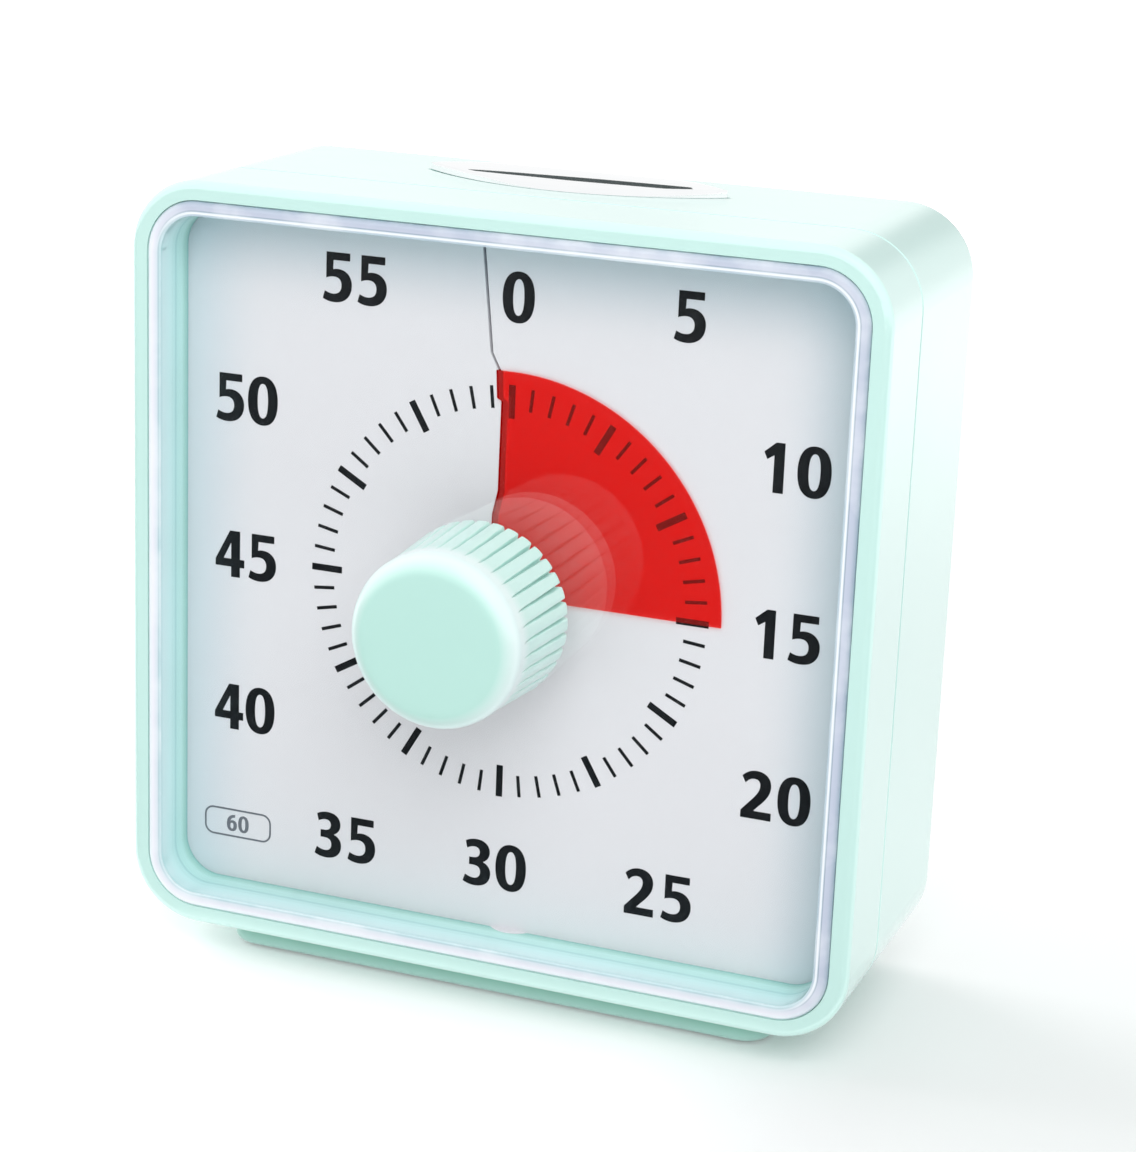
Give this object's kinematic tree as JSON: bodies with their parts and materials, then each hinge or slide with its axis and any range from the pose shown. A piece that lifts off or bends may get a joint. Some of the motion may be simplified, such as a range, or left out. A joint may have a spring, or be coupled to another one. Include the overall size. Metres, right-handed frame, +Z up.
{
  "type": "visual countdown timer",
  "caption": "Square desk timer with a clear lens, a red sheet that turns out of a slit in the dial to show the time left, a ribbed setting knob, an oval top button and a low foot.",
  "frame": {"origin": "on the table, at the middle of the underside of the foot's anti-slip pad, under the middle of the case", "axes": "+X to the right seen from the front, +Y from the dial to the back, +Z up; the dial faces -Y"},
  "size_m": [0.1, 0.0568, 0.1057],
  "materials": {
    "mint_plastic": "pale mint ABS, satin gloss",
    "clear_lens": "clear polystyrene, polished",
    "dial_white": "white printed plastic sheet",
    "red_sheet": "red polypropylene sheet",
    "chrome": "chrome plated plastic",
    "white_plastic": "natural white acetal",
    "steel": "bright steel",
    "brass": "turned brass",
    "copper": "enamelled copper wire",
    "black_plastic": "black moulded plastic",
    "circuit_green": "green solder mask",
    "rubber": "soft anti-slip rubber",
    "ceramic": "pale piezo ceramic"
  },
  "bodies": {
    "housing": {"front_frame": "mint_plastic", "rear_shell": "mint_plastic", "lens": "clear_lens", "dial_plate": "dial_white", "foot_base": "mint_plastic", "foot_pad": "rubber", "case_screws": "steel", "foot_screws": "steel", "shaft_bush": "brass", "movement_plate": "white_plastic", "movement_cover": "white_plastic", "plate_screws": "steel", "cover_screws": "steel", "third_pin": "steel", "rotor_pin": "steel", "stator_plate": "steel", "coil_bobbin": "black_plastic", "coil_winding": "copper", "circuit_board": "circuit_green", "timer_chip": "black_plastic", "crystal": "steel", "button_springs": "steel", "button_guide": "white_plastic", "guide_screws": "steel", "button_board": "circuit_green", "push_switch": "black_plastic", "buzzer_disc": "brass", "buzzer_ceramic": "ceramic", "volume_switch": "steel", "volume_board": "circuit_green", "board_screws": "steel", "battery_cell": "black_plastic", "contact_spring": "steel", "contact_plate": "steel"},
    "dial_drive": {"knob": "mint_plastic", "knob_shaft": "steel", "red_disk": "red_sheet", "disk_hub": "white_plastic", "output_wheel": "white_plastic", "clutch_washer": "steel", "shaft_clip": "steel"},
    "third_wheel_body": {"third_wheel": "white_plastic"},
    "rotor_body": {"rotor": "white_plastic", "rotor_magnet": "black_plastic"},
    "button": {"button_cap": "chrome", "button_carrier": "white_plastic", "switch_plunger": "black_plastic"},
    "volume_slider_body": {"volume_slider": "black_plastic"},
    "battery_door_body": {"battery_door": "mint_plastic"}
  },
  "joints": [
    {"name": "knob_turn", "type": "hinge", "parent": "housing", "child": "dial_drive", "pos_m": [0, 0, 0.0545], "axis": [0, 1, 0], "range_deg": [-90, 270], "deforming": ["red_disk"]},
    {"name": "third_wheel_turn", "type": "hinge", "parent": "housing", "child": "third_wheel_body", "pos_m": [-0.012, 0, 0.0545], "axis": [0, 1, 0], "range_deg": [-1360, 460]},
    {"name": "rotor_turn", "type": "hinge", "parent": "housing", "child": "rotor_body", "pos_m": [-0.012, 0, 0.0445], "axis": [0, 1, 0], "range_deg": [-1810, 5410]},
    {"name": "button_press", "type": "slide", "parent": "housing", "child": "button", "axis": [0, 0, -1], "range_m": [0, 0.0012], "stiffness_N_per_m": 300, "springref_m": -0.002, "deforming": ["button_springs"]},
    {"name": "volume_slide", "type": "slide", "parent": "housing", "child": "volume_slider_body", "axis": [1, 0, 0], "range_m": [-0.002, 0.002]},
    {"name": "battery_door_turn", "type": "hinge", "parent": "housing", "child": "battery_door_body", "pos_m": [0, 0.0192, 0.0118], "axis": [-1, 0, 0], "range_deg": [0, 65]}
  ],
  "couplings": [
    {"joint": "third_wheel_turn", "follows": "knob_turn", "ratio": -5},
    {"joint": "rotor_turn", "follows": "knob_turn", "ratio": 20}
  ]
}
